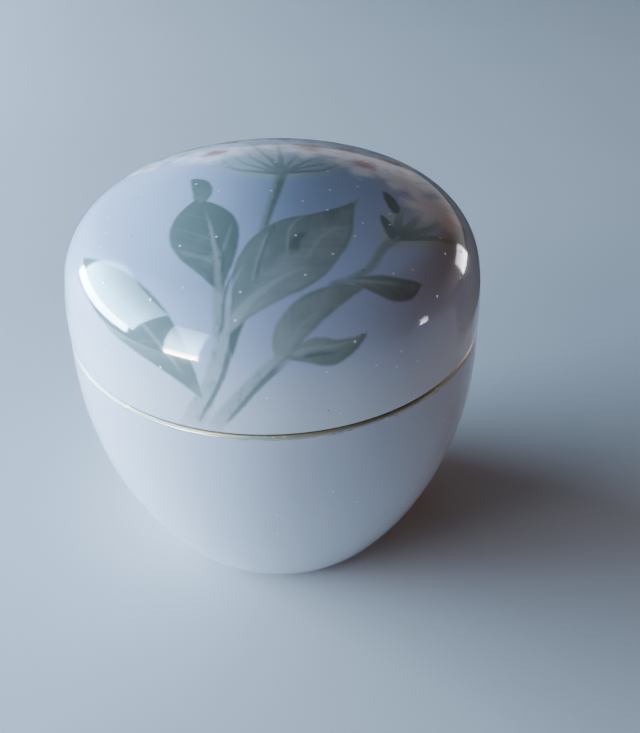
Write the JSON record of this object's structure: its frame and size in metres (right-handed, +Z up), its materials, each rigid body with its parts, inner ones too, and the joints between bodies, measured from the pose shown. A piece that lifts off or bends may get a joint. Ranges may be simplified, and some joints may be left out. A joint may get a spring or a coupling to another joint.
{
  "type": "porcelain trinket box",
  "caption": "Round footed porcelain bowl with a raised flange, and a domed lid that fits over it, lifts off and turns.",
  "frame": {"origin": "middle of the foot ring's resting plane, under the centre of the box", "axes": "+Z up along the axis of revolution; -Y is the side that the painted stems grow from"},
  "size_m": [0.0906, 0.0906, 0.0906],
  "materials": {
    "bowl_porcelain": "glossy pale blue-grey glaze, bare bisque on the foot and ledge",
    "lid_porcelain": "glossy pale blue-grey glaze with a hand-painted leafy spray under it",
    "gilding": "thin fired gold, rubbed and worn"
  },
  "bodies": {
    "bowl": {"bowl": "bowl_porcelain", "bowl_gilt_band": "gilding"},
    "lid_rim": {"lid_gilt_band": "gilding"},
    "lid": {"lid": "lid_porcelain"}
  },
  "joints": [
    {"name": "lid_lift", "type": "slide", "parent": "bowl", "child": "lid_rim", "axis": [0, 0, 1], "range_m": [0, 0.07]},
    {"name": "lid_turn", "type": "hinge", "parent": "lid_rim", "child": "lid", "pos_m": [0, 0, 0.059], "axis": [0, 0, 1], "continuous": true}
  ]
}
